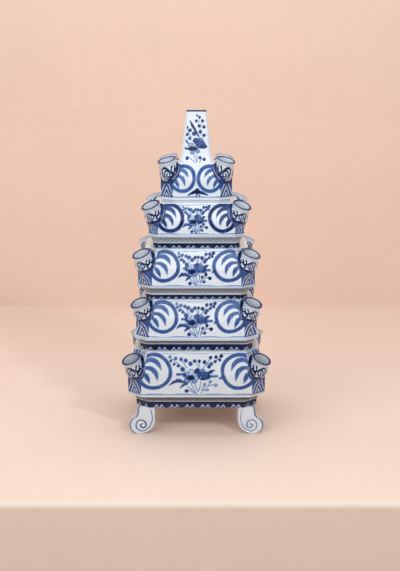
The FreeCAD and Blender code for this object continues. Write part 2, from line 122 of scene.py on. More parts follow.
def tin_glaze():
    """White ground darkened by the grey, partly ornament and partly painted shade, times the cobalt's
    wash, worn to bare clay where thin.

    The cobalt's strength is its depth times the sum of two clouds, dry bristles and wet puddles."""
    material = bpy.data.materials.new("tin_glaze")
    material.use_nodes = True
    nodes, links = material.node_tree.nodes, material.node_tree.links
    surface = nodes["Principled BSDF"]
    white, milky = (0.77, 0.81, 0.86), (0.70, 0.745, 0.80)
    grey_paint_and_shade_tone, bare_clay = (0.030, 0.033, 0.045), (0.40, 0.35, 0.29)
    marks = {}
    for mark in MARKS:
        reader = nodes.new("ShaderNodeAttribute")
        reader.attribute_name = mark
        marks[mark] = reader.outputs["Fac"]
    broad, fine, wear = cloud(material, 22, 3), cloud(material, 420, 2), cloud(material, 180, 3)
    bristles, puddles = cloud(material, 260, 4, (1, 1, 0.35)), cloud(material, 75, 2)
    ground = blend(material, broad, white, milky)
    # The grey darkens the ground towards a near-black tone; it carries grey ornament and painted shade
    # alike.
    ground = blend(material, marks["grey"], ground, grey_paint_and_shade_tone)
    dryness = calculate(material, "MULTIPLY_ADD", bristles, 0.36, -0.18)
    wetness = calculate(material, "MULTIPLY_ADD", puddles, 0.40, 0.84)
    strength = calculate(material, "ADD", dryness, wetness)
    wash = nodes.new("ShaderNodeValToRGB")
    while len(wash.color_ramp.elements) < len(COBALT_WASHES):
        wash.color_ramp.elements.new(0.5)
    for element, (position, colour) in zip(wash.color_ramp.elements, COBALT_WASHES):
        element.position = position
        element.color = colour + (1,)
    links.new(calculate(material, "MULTIPLY", marks["cobalt"], strength), wash.inputs["Fac"])
    painted = blend(material, 1.0, ground, wash.outputs["Color"], "MULTIPLY")
    worn = calculate(material, "MULTIPLY", marks["thin"], wear)
    links.new(blend(material, worn, painted, bare_clay), surface.inputs["Base Color"])
    links.new(calculate(material, "MULTIPLY_ADD", fine, 0.12, 0.13), surface.inputs["Roughness"])
    surface.inputs["Specular IOR Level"].default_value = 0.3
    surface.inputs["Coat Weight"].default_value = 0.12
    surface.inputs["Coat Roughness"].default_value = 0.07
    bump = nodes.new("ShaderNodeBump")
    bump.inputs["Strength"].default_value = 0.35
    bump.inputs["Distance"].default_value = 0.0009
    links.new(calculate(material, "MULTIPLY_ADD", fine, 0.25, broad), bump.inputs["Height"])
    links.new(bump.outputs["Normal"], surface.inputs["Normal"])
    return material


glaze = tin_glaze()


# Brushes. Each stroke is laid on a panel in millimetres along and up it, and deepens the cobalt
# where it passes; a wash is a little darker along both rims, where the wet colour pools.
def brush_line(points, steps=7):
    """A smooth line through a few points: cubic pieces whose slopes follow the neighbours."""
    p = np.array(points, float)
    ends = np.vstack([2 * p[0] - p[1], p, 2 * p[-1] - p[-2]])
    t = np.linspace(0, 1, steps, endpoint=False)[:, None]
    made = []
    for a, b, c, d in zip(ends, ends[1:], ends[2:], ends[3:]):
        curve = 2 * b + (c - a) * t + (2 * a - 5 * b + 4 * c - d) * t**2 + (3 * b - a - 3 * c + d) * t**3
        made.append(0.5 * curve)
    return np.vstack(made + [p[-1:]])


def stroke(cobalt, place, points, width, depth, pooled=0.0, soft=0.8):
    """Deepen the cobalt along a line; width is one number or one for each point.

    A point is covered by half the width less its distance from the line, faded over soft; pooled
    is how much paler the middle is than the rim."""
    line = brush_line(points) if len(points) > 2 else np.array(points, float)
    shares = np.linspace(0, 1, len(line))
    widths = np.interp(shares, np.linspace(0, 1, np.size(width)), np.atleast_1d(width))
    reach = widths.max() / 2 + soft
    inside = np.all((place > line.min(0) - reach) & (place < line.max(0) + reach), axis=1)
    spot = place[inside]
    best = np.zeros(len(spot))
    for a, b, wa, wb in zip(line, line[1:], widths, widths[1:]):
        along = b - a
        t = np.clip(((spot - a) @ along) / max(along @ along, 1e-9), 0, 1)
        away = np.linalg.norm(spot - a - t[:, None] * along, axis=1)
        half = (wa + (wb - wa) * t) / 2
        cover = np.clip((half - away) / soft + 0.5, 0, 1)
        rim = 1 - pooled * (1 - np.clip(away / np.maximum(half, 0.1), 0, 1) ** 2)
        best = np.maximum(best, cover * rim)
    cobalt[inside] = np.maximum(cobalt[inside], depth * best)


def dab(cobalt, place, centre, size, depth, hollow=0.0, tilt=0.0, soft=0.8):
    """One touch of the brush: an oval, darkest at its rim where hollow is above zero.

    Distance is measured in the oval's own turned half-lengths, so its rim lies at one."""
    long, short = (size, size) if np.ndim(size) == 0 else size
    turn = np.array([[math.cos(tilt), math.sin(tilt)], [-math.sin(tilt), math.cos(tilt)]])
    away = np.linalg.norm((place - np.array(centre)) @ turn.T / np.array([long, short]) * 2, axis=1)
    cover = np.clip((1 - away) * min(long, short) / 2 / soft + 0.5, 0, 1)
    rim = 1 - hollow * (1 - np.clip(away, 0, 1) ** 2)
    np.maximum(cobalt, depth * cover * rim, out=cobalt)


# Clay. Boxes, trays and neck are slabs pressed in square moulds with cut corners; every level of
# such a piece is one cut square, its upright edges softened by the glaze. Walls are 6 mm thick,
# and half of a flat side shortens by FLAT_INSET for each millimetre that a cut square is inset.
FLAT_INSET = math.tan(math.pi / 8)
WALL = 6
WALL_FLAT = WALL * FLAT_INSET


def cut_square_ring(half, flat, spacing, softness=2.6):
    """A closed ring, counter-clockwise from above, laid out once for the front side and its corner.

    Half is the distance from the middle to a side, flat is half of that side's length. At any
    level, place = "half" times half + "flat" times flat + "normal" times the softness."""
    inset_half, inset_flat = half - softness, flat - softness * FLAT_INSET
    side_steps = max(4, int(round(2 * inset_flat / spacing)))
    corner_steps = max(3, int(round((inset_half - inset_flat) * math.sqrt(2) / spacing)))
    s = np.linspace(-1, 1, side_steps + 1)
    t = np.linspace(0, 1, corner_steps + 1)
    ends = np.ones(2)
    front = [(0 * s, 0 * s - 1, s, 0 * s, 0 * s - 90, 0, s)]
    front.append((0 * ends, -ends, ends, 0 * ends, np.array([-75.0, -60.0]), 0, ends))
    front.append((t, t - 1, 1 - t, -t, 0 * t - 45, 4, 2 * t - 1))
    front.append((ends, 0 * ends, 0 * ends, -ends, np.array([-30.0, -15.0]), 4, ends))
    rows = []
    for quarter in range(4):
        c, d = round(math.cos(quarter * math.pi / 2)), round(math.sin(quarter * math.pi / 2))
        for hx, hy, fx, fy, degrees, side, along in front:
            nx, ny = np.cos(np.radians(degrees)), np.sin(np.radians(degrees))
            pairs = ((hx, hy), (fx, fy), (nx, ny))
            turned = [v for x, y in pairs for v in (c * x - d * y, d * x + c * y)]
            rows.append(np.stack(turned + [0 * along + side + quarter, along], axis=1))
    ring = np.vstack(rows)
    place = ring[:, 0:2] * inset_half + ring[:, 2:4] * inset_flat + ring[:, 4:6] * softness
    circle = place / np.linalg.norm(place, axis=1)[:, None]
    return dict(half=ring[:, 0:2], flat=ring[:, 2:4], normal=ring[:, 4:6], side=ring[:, 6].astype(int),
                along=ring[:, 7], circle=circle, softness=softness)


def soft_line(corners):
    """Profile through points of (half, flat, level, roundness, rounding, spacing).

    Each corner with a rounding becomes a quadratic curve that starts and ends that far from it."""
    p = np.array([c[:4] for c in corners], float)
    length = lambda v: math.hypot(v[0], v[2])
    made, at = [p[:1]], p[0]
    for i in range(1, len(p)):
        stop, leave, back = p[i], p[i], 0
        if i < len(p) - 1 and corners[i][4]:
            before, after = length(p[i] - p[i - 1]), length(p[i + 1] - p[i])
            back = min(corners[i][4], 0.45 * before, 0.45 * after)
            stop = p[i] + (p[i - 1] - p[i]) * back / before
            leave = p[i] + (p[i + 1] - p[i]) * back / after
        steps = max(1, int(math.ceil(length(stop - at) / corners[i][5])))
        made.append(at + (stop - at) * np.linspace(0, 1, steps + 1)[1:, None])
        if back:
            t = np.linspace(0, 1, 5)[1:, None]
            made.append((1 - t) ** 2 * stop + 2 * t * (1 - t) * p[i] + t**2 * leave)
        at = leave
    return np.vstack(made)


def pressed_surface(ring, profile):
    """Rings stacked along a profile; a roundness of one turns the cut square into a circle."""
    half, flat, level, roundness = (profile[:, i][:, None, None] for i in range(4))
    soft = np.minimum(ring["softness"], half * 0.5)
    inset_flat = flat - soft * FLAT_INSET
    square = ring["half"] * (half - soft) + ring["flat"] * inset_flat + ring["normal"] * soft
    level_place = (1 - roundness) * square + roundness * ring["circle"] * half
    height = np.broadcast_to(level, level_place.shape[:2] + (1,))
    return np.concatenate([level_place, height], axis=2)


def fired_piece(node, points, marks, tier_number, open_row=None, caps=(), dropped=None):
    """One mesh from a grid in millimetres: rows along the profile, columns round the ring.

    The last row joins the first, but for the step after open_row; each cap closes a row with a
    fan; a face goes where all four of its points are dropped."""
    rows, columns = points.shape[:2]
    row = np.array([r for r in range(rows) if r != open_row])[:, None]
    column = np.arange(columns)[None, :]
    here, onward = row * columns, (row + 1) % rows * columns
    beside = (column + 1) % columns
    quads = [here + column, here + beside, onward + beside, onward + column]
    quads = np.stack([corner.ravel() for corner in quads], axis=1)
    if dropped is not None:
        quads = quads[~dropped.ravel()[quads].all(axis=1)]
    places = [points.reshape(-1, 3)]
    triangles = []
    for number, (at, facing) in enumerate(caps):
        edge = at * columns + np.arange(columns)[::facing]
        middle = np.full(columns, rows * columns + number)
        triangles.append(np.stack([edge, np.roll(edge, -1), middle], axis=1))
        places.append(points[at].mean(axis=0)[None, :])
    loops = np.concatenate([quads.ravel()] + [t.ravel() for t in triangles]).astype(np.int32)
    totals = [np.full(len(quads), 4)] + [np.full(len(t), 3) for t in triangles]
    totals = np.concatenate(totals).astype(np.int32)
    all_places = np.vstack(places)
    mesh = bpy.data.meshes.new(node + "_glazed")
    mesh.vertices.add(len(all_places))
    mesh.vertices.foreach_set("co", (all_places.ravel() * 0.001).astype(np.float32))
    mesh.loops.add(len(loops))
    mesh.loops.foreach_set("vertex_index", loops)
    mesh.polygons.add(len(totals))
    mesh.polygons.foreach_set("loop_start", (np.cumsum(totals) - totals).astype(np.int32))
    mesh.polygons.foreach_set("loop_total", totals)
    mesh.polygons.foreach_set("use_smooth", np.ones(len(totals), dtype=bool))
    mesh.update(calc_edges=True)
    for mark in MARKS:
        values = np.zeros(len(all_places))
        if mark in marks:
            values[:rows * columns] = marks[mark].ravel()
        attribute = mesh.attributes.new(mark, "FLOAT", "POINT")
        attribute.data.foreach_set("value", values.astype(np.float32))
    mesh.materials.append(glaze)
    piece = bpy.data.objects.new(node + "_glazed", mesh)
    bpy.context.scene.collection.objects.link(piece)
    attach(piece, "tier_%d" % tier_number)
    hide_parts(node)


# Scroll feet. Each is a thick slab of clay cut to a leg and a rolled toe, luted under the lowest
# tray; a groove runs down its inner edge and winds into the scroll, with a thin line of blue in it.
CORNERS = (("front_left", -1, -1), ("front_right", 1, -1), ("back_right", 1, 1), ("back_left", -1, 1))
FOOT_SCROLL = (
    (87, 46), (84.5, 34), (85.5, 22), (91, 11), (99.5, 5), (108, 5), (114.5, 11), (115, 19.5),
    (109, 26), (101, 25), (96.5, 18.5), (98.5, 12), (104.5, 11.5), (107, 16.5), (103, 19),
)


def foot_sides(level):
    """Inner and outer x of the foot at a level.

    An arc's x is off its middle by the root of its radius squared less its height off the middle
    squared. Inside, the straight leg runs into the knee's arc and a sloping heel; outside, the
    leg runs into the ankle's hollow arc and then the toe's round one."""
    arc = lambda radius, middle: np.sqrt(np.maximum(radius**2 - (level - middle) ** 2, 0))
    leg_inside, knee_radius, heel_top, heel_x, heel_run = 79, 26, 4.2, 91, 12
    leg_outside, leg_taper, ankle_level, ankle_radius = 112.5, 0.15, 43, 15.5
    toe_x, toe_radius, toe_top = 112, 16.3, 30.4
    knee = leg_inside + knee_radius - arc(knee_radius, knee_radius)
    heel = heel_x + (heel_top - level) * heel_run / heel_top
    inner = np.where(level > knee_radius, leg_inside, np.where(level > heel_top, knee, heel))
    toe = toe_x + arc(toe_radius, toe_radius)
    ankle = leg_outside + ankle_radius - arc(ankle_radius, ankle_level)
    leg = leg_outside - (level - ankle_level) * leg_taper
    return inner, np.where(level > ankle_level, leg, np.where(level > toe_top, ankle, toe))


def foot_ring():
    """One level of a foot from above: four rounded corners and the straight sides between them.

    A column is the signs of its corner in x and y, or a share of the way to the next corner's,
    and the normal there."""
    corners = np.array([(1.0, 1.0), (-1.0, 1.0), (-1.0, -1.0), (1.0, -1.0)])
    parts = []
    for quarter, (corner, following) in enumerate(zip(corners, np.roll(corners, -1, axis=0))):
        angle = np.radians(90 * quarter + np.arange(0, 91, 18))
        normal = np.stack([np.cos(angle), np.sin(angle)], 1)
        parts.append(np.hstack([np.tile(corner, (len(angle), 1)), normal]))
        t = np.linspace(0, 1, (36, 20)[quarter % 2])[1:-1, None]
        parts.append(np.hstack([corner + (following - corner) * t, np.tile(normal[-1], (len(t), 1))]))
    return np.vstack(parts).T


def scroll_foot(corner, cx, cy, depth):
    """One foot, laid out for the back right corner and mirrored by cx and cy.

    At each level x and y are the middle plus the half width or thickness less the rounding, plus
    the rounding along the normal; the scroll's groove is then taken off both faces."""
    levels = np.concatenate([[0.0, 0.25, 0.6], np.arange(1, 52.5, 0.7), [52.7, 53.0]])
    inner, outer = foot_sides(levels)
    sole_edge = 0.9 * np.clip(1 - levels / 0.8, 0, 1)
    middle, half_width = (inner + outer) / 2, (outer - inner) / 2 - sole_edge
    middle_y, half_thickness, rounding, groove_depth = 99, 13.5, 3.2, 1.5
    sx, sy, nx, ny = foot_ring()
    x = middle[:, None] + sx * (half_width[:, None] - rounding) + nx * rounding
    y = np.broadcast_to(middle_y + sy * (half_thickness - rounding) + ny * rounding, x.shape)
    z = np.broadcast_to(levels[:, None], x.shape)
    place = np.stack([x.ravel(), z.ravel()], 1)
    groove, line = np.zeros((2, len(place)))
    stroke(groove, place, FOOT_SCROLL, [3.2, 3.6, 4.0, 4.0, 3.0], 1.0, soft=2.6)
    stroke(line, place, FOOT_SCROLL, [0.9, 1.2, 1.5, 2.2, 1.8], depth)
    on_face = np.broadcast_to(np.abs(ny) > 0.95, x.shape)
    y = y - np.sign(ny) * groove_depth * groove.reshape(x.shape) * on_face
    # Blue on the rounded outer edges of each foot: partly a painted outline, partly painted shade where the
    # edge turns away from the light.
    edge_line_and_shade = np.broadcast_to((nx > 0.3) & (nx < 0.95), x.shape)
    cobalt = np.where(edge_line_and_shade, 0.55, line.reshape(x.shape) * on_face)
    around = 1 if cx * cy > 0 else -1
    grid = np.stack([cx * x, cy * y, z], 2)[:, ::around]
    worn_sole = 0.7 * np.clip(1 - grid[:, :, 2] / 2.5, 0, 1)
    # Painted shade: the feet are greyed as much as tier one, the darkest part at the foot of the piece.
    marks = {"cobalt": cobalt[:, ::around], "thin": worn_sole, "grey": np.full(x.shape, 0.17)}
    last = len(levels) - 1
    fired_piece("foot_" + corner, grid, marks, 1, last, ((0, -1), (last, 1)))


for (corner, cx, cy), depth in zip(CORNERS, (0.88, 0.5, 0.7, 0.6)):
    scroll_foot(corner, cx, cy, depth)


# Tiers. All five are made alike, each smaller than the one below. The sizes are millimetres, of
# the solid that each piece stands for; the last ones place the painting on it.
def tier_sizes(number, band, ledge, box, top, heights, crease, opening, spout, ring, girdle, peak,
               depth, hollow_hatch_and_shade):
    """One tier by name: band, ledge, box and top are (half, flat); spout is seat, reach and lean.

    Ring is the radius, the gap to the middle and the height of a leaf ring, girdle the depth of a
    spout's blue ring, peak the arrowheads' height, depth a ring's blue, and the last a hollow's
    grey: hatching over an even grey that is painted shade under the ledge."""
    return dict(number=number, band=band, ledge=ledge, box=box, top=top, heights=heights, crease=crease,
                opening=opening, seat=spout[0], reach=spout[1], lean=spout[2], radius=ring[0], gap=ring[1],
                eye=ring[2], girdle=girdle, peak=peak, depth=depth, hollow_hatch_and_shade=hollow_hatch_and_shade)


TIERS = (
    tier_sizes(1, (115.5, 92), (129.5, 103.5), (130.7, 104.5), (118, 92.1), (11.5, 12.5, 5.5), 36, 60,
               (45.6, 25.9, 28), (34.5, 46.3, 44), 34.4, 26, 0.62, 1.0),
    tier_sizes(2, (106.5, 93.5), (118.5, 92.5), (114.7, 90), (103.1, 78.4), (11.5, 9.5, 5.5), 31.5, 52,
               (43.3, 25.5, 27), (31, 34, 38.7), 29.7, 28, 0.64, 0.84),
    tier_sizes(3, (95.5, 84), (111.5, 84.5), (110.6, 83.6), (98.4, 71.4), (8, 15.5, 3.5), 30.5, 47,
               (38.2, 26.2, 27), (30.2, 30.5, 37.3), 29.7, 24, 0.66, 0.72),
    tier_sizes(4, (81.7, 72.5), (91.5, 72.5), (90.3, 72), (79.7, 61.4), (9, 13, 5), 25.5, 38,
               (34.6, 23.7, 28), (27.5, 22.5, 30.2), 28.6, 20, 0.84, 0.66),
    tier_sizes(5, (63, 41.5), (66.5, 44), (67.7, 44.7), (56, 34), (3.5, 1, 5.3), 34.5, 21,
               (49, 22.8, 20), (26.5, 0.3, 35.0), 39.4, 26, 0.60, 0.0),
)
# Painted shade: the glaze of the two lowest tiers is painted greyer, tier one most, for the light that
# falls off towards the foot of the piece. The index is the tier's number.
LOW_TIER_PAINTED_SHADE = (0, 0.17, 0.06, 0.0, 0.0, 0.0)


def levels_of(node):
    """Foot and head of a node in the solids, in millimetres."""
    low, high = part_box(node)
    return low[2] * 1000, high[2] * 1000


# Trays. A pressed tray: a navy foot band with white notches, a hollow hatched in grey over painted
# shade that swings out to a pale ledge, and on tiers two to five a collar below that drops into the
# lid beneath. The top tier's tray is plain, with painted shadow under its lip.
def tray_profile(tier, z0, top):
    """The profile, and the row where the floor's upper side ends at the middle.

    Up the outside, the hollow swings from band to ledge by a share; the inside follows it one
    wall further in, but the top tier's tray is solid. The middle is a small circle."""
    band, hollow, _ = tier["heights"]
    (bh, bf), (lh, lf) = tier["band"], tier["ledge"]
    middle, collar_wall, collar_height, clearance = 2, 5, 12, 1.5
    swing = lambda share: (bh + (lh - bh) * share, bf + (lf - bf) * share)
    line = [(bh, bf, z0, 0, 0, 1), (bh, bf, z0 + band, 0, 1.0, 1.2)]
    line.append(swing(0.18) + (z0 + band + hollow * 0.5, 0, 5, 1.2))
    line.append(swing(0.6) + (z0 + band + hollow * 0.85, 0, 3, 1.2))
    line += [swing(1) + (z0 + band + hollow, 0, 1.3, 1.2), (lh, lf, top, 0, 1.6, 1.2)]
    if tier["number"] < 5:
        upper = z0 + band + hollow * 0.5
        inside = (swing(0.18)[0] - WALL, swing(0.18)[1] - WALL_FLAT)
        line.append((tier["box"][0] - WALL, tier["box"][1] - WALL_FLAT, top, 0, 1.2, 3))
        line += [inside + (upper, 0, 4, 4), (bh - WALL, bf - WALL_FLAT, z0 + band, 0, 3, 4)]
        line.append((bh - WALL, bf - WALL_FLAT, z0 + WALL, 0, 4, 4))
    line.append((middle, middle, z0 + WALL if tier["number"] < 5 else top, 1, 0, 14))
    middle_row = len(soft_line(line)) - 1
    line.append((middle, middle, z0, 1, 0, 20))
    if tier["number"] > 1:
        outer = TIERS[tier["number"] - 2]["opening"] - clearance
        inner, low = outer - collar_wall, z0 - collar_height
        line += [(inner, inner, z0, 1, 1, 14), (inner, inner, low, 1, 1.4, 4)]
        line += [(outer, outer, low, 1, 1.4, 2), (outer, outer, z0, 1, 1, 4)]
    line += [(bh - 6, bf - 2.5, z0, 0, 1, 10), (bh - 1.2, bf - 0.5, z0, 0, 0, 3)]
    return soft_line(line), middle_row


def notches(run, up, band, period):
    """Cobalt of a foot band: navy but for white peaks with a blue seed, in pairs if far apart.

    A peak's height falls in a straight line with the distance from its middle along the band."""
    first, pair_half, peak_half, seed_half = 17, 5.1, 4.6, 2.6
    beat = np.mod(run - first + period / 2, period) - period / 2
    pair = pair_half if period > 20 else 0
    from_peak = np.minimum(np.abs(beat - pair), np.abs(beat + pair))
    high = band * 0.55
    white = np.clip((1 - from_peak / peak_half) * high - up + 0.7, 0, 1)
    seed = np.clip((1 - from_peak / seed_half) * high * 0.6 - up + 0.5, 0, 1)
    return np.maximum(0.93 * (1 - white), 0.98 * seed)


def hatching(run, sweep, dark):
    """Grey of a hollow and its arches; sweep is the share of the way up the hollow.

    The arches are scallops 9 mm apart that drift a little; the hatching is the product of two
    waves that cross."""
    scallop = np.abs(np.sin(run * math.pi / 9.0 + 0.5 * np.sin(run * 0.11)))
    arch = np.clip(1 - np.abs(sweep - 0.30 - 0.45 * scallop) / 0.13, 0, 1)
    hatch = 0.5 + 0.5 * np.sin(run * 1.15 + sweep * 6) * np.sin(run * 0.43 - sweep * 8)
    # Painted shade: two thirds of dark lies evenly over the whole hollow as the shade under the ledge; the
    # crossing waves and the arches on it are the hatched ornament.
    return np.minimum(dark * (0.66 + 0.34 * hatch) + 0.3 * dark * arch, 0.97), arch


def tray_paint(tier, ring, profile, outside, z0):
    """Marks of a tray, from each point's run along its side and height up from the band's foot."""
    number, dark = tier["number"], tier["hollow_hatch_and_shade"]
    band, hollow, ledge = tier["heights"]
    side = np.broadcast_to(ring["side"], (len(profile), len(ring["side"])))
    corner_width = (profile[:, 0] - profile[:, 1]) * math.sqrt(0.5)
    run = ring["along"] * np.where(side < 4, profile[:, 1][:, None], corner_width[:, None])
    up = np.broadcast_to((profile[:, 2] - z0)[:, None], run.shape)
    outside = np.broadcast_to(outside[:, None], run.shape)
    cobalt, grey, thin = np.zeros((3,) + run.shape)
    if number == 5:
        thin[outside & (up < 1)] = 0.4
        # Painted shadow: the top tier's tray has no band or hollow, so its lowest 4 mm or so is painted
        # grey as the shadow under its rounded lip.
        return {"grey": np.where(outside & (up < band + 0.6), 0.12, 0), "thin": thin}
    in_band = outside & (up < band)
    cobalt = np.where(in_band, notches(run, up, band, (29.6, 27.5, 14.0, 27.5)[number - 1]), cobalt)
    cobalt = np.where(in_band & (up > band - 1.3), 0.98, cobalt)
    sweep = (up - band) / hollow
    in_hollow = outside & (sweep >= 0) & (sweep < 1)
    # The hollow's grey is hatching over painted shade, deeper on lower tiers.
    shade, arch = hatching(run, sweep, dark)
    grey = np.where(in_hollow, shade, grey)
    grey = np.where(in_hollow & (sweep < 0.14), 0.02, grey)
    grey = np.where(in_hollow & (sweep > 0.86), 0.55 * dark, grey)
    cobalt = np.where(in_hollow & (sweep > 0.14), 0.10 * arch, cobalt)
    rim = np.clip(1 - np.abs(up - band - hollow - ledge * 0.62) / 0.8, 0, 1)
    on_ledge = outside & (sweep >= 1)
    cobalt = np.where(on_ledge, 0.04 + 0.26 * rim, cobalt)
    grey = np.where(on_ledge, 0.06, grey)
    thin = np.where(in_hollow, 0.12 * dark, thin)
    thin = np.where(~outside & (up < 0.2), 0.6, thin)
    return {"cobalt": cobalt, "grey": grey, "thin": thin}


def tray(tier):
    """The tray's profile swept round its cut square; two fans close the floor at the middle."""
    node = "tier_%d_base" % tier["number"]
    top = levels_of(node)[1]
    z0 = top - sum(tier["heights"])
    profile, middle_row = tray_profile(tier, z0, top)
    ring = cut_square_ring(tier["band"][0], tier["band"][1], 1.4)
    outside = np.arange(len(profile)) < np.argmax(profile[:, 2] > top - 0.01)
    marks = tray_paint(tier, ring, profile, outside, z0)
    caps = ((middle_row, 1), (middle_row + 1, -1))
    fired_piece(node, pressed_surface(ring, profile), marks, tier["number"], middle_row, caps)


# Panels. The same flower spray is brushed on every side: a ring on each side of it holds three
# leaves that spring from the spout, and two open flowers stand between fans of berries.
SPRAY_DOTS = (
    (-51.8, 71.5, 6.0, 0.46), (-49.7, 64.2, 5.0, 0.84), (-40.4, 68.2, 6.2, 0.66), (-43.3, 58.0, 5.4, 0.88),
    (-29.7, 66.2, 6.8, 0.66), (-35.2, 54.5, 6.2, 0.76), (-20.5, 63.8, 7.4, 0.74), (-27.0, 47.9, 8.4, 0.80),
    (-11.1, 58.3, 8.4, 0.68), (-3.1, 63.6, 6.2, 0.90), (6.2, 63.6, 5.8, 0.90), (16.6, 61.6, 7.0, 0.92),
    (28.3, 69.2, 6.2, 0.94), (38.9, 70.0, 6.2, 0.94), (49.3, 72.5, 6.8, 0.94), (46.7, 65.2, 5.4, 0.90),
    (37.6, 62.0, 5.8, 0.90), (29.7, 57.6, 6.6, 0.72), (24.9, 53.0, 6.6, 0.88), (-18.7, 7.1, 7.2, 0.80),
)
SPRAY_BERRIES = (
    (16.3, 20.4, 5.4, 0.78), (27.2, 25.1, 5.8, 0.72), (38.4, 17.8, 6.8, 0.60), (22.1, 9.4, 5.6, 0.70),
)
SPRAY_LEAVES = (
    (((-42.8, 37.7), (-33.2, 39.0), (-22.1, 37.0)), (1.4, 4.2, 5.0), 0.86),
    (((-53.2, 19.1), (-44.2, 25.1), (-33.2, 26.4), (-18.0, 21.1)), (1.4, 5.4, 5.8, 3.0), 0.78),
    (((-31.8, 12.5), (-26.3, 17.8), (-18.0, 21.1)), (1.2, 4.4, 3.0), 0.80),
    (((23.5, 41.0), (29.0, 44.2), (35.9, 46.3)), (5.0, 5.4, 1.2), 0.88),
    (((21.0, 33.8), (34.5, 35.7), (42.8, 33.7), (51.1, 32.4)), (5.4, 4.6, 2.6, 1.8), 0.84),
)
SPRAY_STEMS = (
    ((1.4, 2.5), (-4.8, 11.8), (-11.1, 22.4)), ((1.4, 2.5), (-9.7, 10.5), (-18.0, 16.4)),
    ((-2.8, 3.2), (-11.1, 7.8), (-18.0, 7.1)), ((4.1, 6.5), (-0.7, 15.8), (-4.2, 26.4)),
    ((5.5, 7.8), (7.6, 17.1), (8.3, 26.4)), ((9.7, 3.8), (17.9, 14.4), (29.0, 18.4), (37.3, 17.8)),
    ((13.8, 9.1), (22.1, 9.4)), ((11.0, 10.5), (16.3, 20.4)), ((22.1, 16.4), (27.2, 25.1)),
    ((12.4, 50.3), (19.3, 56.9), (29.7, 68.9)), ((19.3, 56.9), (37.3, 62.3), (49.3, 72.5)),
    ((4.1, 51.6), (1.4, 58.3), (-3.1, 63.6)), ((6.9, 53.0), (6.2, 63.6)),
    ((-23.5, 47.6), (-37.3, 59.6), (-51.8, 71.5)), ((-18.0, 50.3), (-24.9, 59.6), (-30.4, 66.2)),
)
FLOWER_PETALS = (
    (-20.7, 39.7, 13, 10, 0.3, 0.40), (-9.7, 44.3, 12, 10, -0.2, 0.34), (0.7, 38.4, 11, 10, 0.5, 0.44),
    (-18.5, 27.6, 13, 9, -0.4, 0.66), (-4.2, 26.8, 12, 9, 0.4, 0.60), (10.5, 44.5, 13, 9, 0.6, 0.72),
    (20.0, 40.5, 12, 8, -0.5, 0.70), (18.0, 33.0, 14, 8, -0.1, 0.82),
)
RING_LEAVES = (
    (((-0.58, 0.44), (-0.30, 0.60), (0.02, 0.58), (0.27, 0.38), (0.42, 0.08)),
     (0.16, 0.22, 0.26, 0.22, 0.04), 1.0),
    (((-0.52, 0.20), (-0.22, 0.18), (0.02, 0.02), (0.14, -0.20), (0.18, -0.50)),
     (0.16, 0.22, 0.26, 0.20, 0.03), 1.04),
    (((-0.62, -0.04), (-0.44, -0.22), (-0.34, -0.40), (-0.25, -0.64)),
     (0.16, 0.26, 0.22, 0.04), 1.08),
)
TOP_TIER_SPRIG = (
    (((2, 10), (-5.2, 8.8), (-16, 4.0)), (5.5, 6, 2.0)),
    (((2, 10), (9.5, 8.8), (21, 5.0)), (5.5, 6, 2.0)),
    (((1.4, 9), (-1.0, 1.0)), (3, 1.4)),
    (((2.8, 9), (6.0, 1.2)), (3, 1.4)),
)


def spray(cobalt, place, wide, tall, open_berries):
    """The whole flower spray; wide and tall fit it between the rings of a smaller tier."""
    fit = lambda points: [(x * wide, z * tall) for x, z in points]
    size = min(1.0, (wide + tall) / 2 * 1.28)
    for points in SPRAY_STEMS:
        stroke(cobalt, place, fit(points), 1.1, 0.66)
    for points, widths, depth in SPRAY_LEAVES:
        stroke(cobalt, place, fit(points), [w * size for w in widths], depth, 0.2)
    for x, z, dot, depth in SPRAY_DOTS:
        dab(cobalt, place, (x * wide, z * tall), dot * size, depth, 0.12)
    for x, z, dot, depth in SPRAY_BERRIES:
        hollow, depth = (0.75, depth) if open_berries else (0.1, 0.92)
        dab(cobalt, place, (x * wide, z * tall), dot * size, depth, hollow)
    for x, z, long, short, tilt, depth in FLOWER_PETALS:
        dab(cobalt, place, (x * wide, z * tall), (long * size, short * size), depth, 0.62, tilt)
    dab(cobalt, place, (13.5 * wide, 38.5 * tall), (24 * size, 14 * size), 0.64, 0.1, -0.2)
    dab(cobalt, place, (1.5 * wide, 46.0 * tall), (12 * size, 9 * size), 0.86, 0.1, 0.5)
    dab(cobalt, place, (-12.0 * wide, 32.5 * tall), (17 * size, 8.5 * size), 0.92, 0, 0.1)
    stroke(cobalt, place, fit([(2.5, 41), (3.5, 34), (9.5, 30), (18, 30.5)]), 2.6 * size, 0.90)


def leaf_ring(cobalt, place, middle, eye, radius, inward, depth):
    """A broad ring and its three leaves, which spring from the spout's side.

    The ring is a circle whose radius wavers three times round; leaves are in shares of it."""
    turn = np.linspace(0, 2 * np.pi, 49)
    far = (radius - 3.4) * (1 + 0.012 * np.sin(3 * turn + middle))
    ring = np.stack([middle + far * np.cos(turn), eye + far * np.sin(turn)], 1)
    stroke(cobalt, place, [tuple(p) for p in ring], 6.8, depth, 0.14)
    for points, widths, shade in RING_LEAVES:
        line = [(middle + inward * x * radius, eye + z * radius) for x, z in points]
        stroke(cobalt, place, line, [w * radius for w in widths], shade * depth, 0.34)


def panel(cobalt, place, tier, height):
    """Everything painted on one side of a box, in millimetres from its middle and its foot."""
    for inward in (1, -1):
        middle = -inward * (tier["gap"] + tier["radius"])
        leaf_ring(cobalt, place, middle, tier["eye"], tier["radius"], inward, tier["depth"])
    if tier["number"] < 5:
        spray(cobalt, place, min(1.0, tier["gap"] / 50 + 0.04), height / 80.5, tier["number"] == 1)
        return
    for points, widths in TOP_TIER_SPRIG:
        stroke(cobalt, place, points, widths, 0.90, 0.1)
    dab(cobalt, place, (2.0, 12.5), (9, 8), 0.84, 0.15)


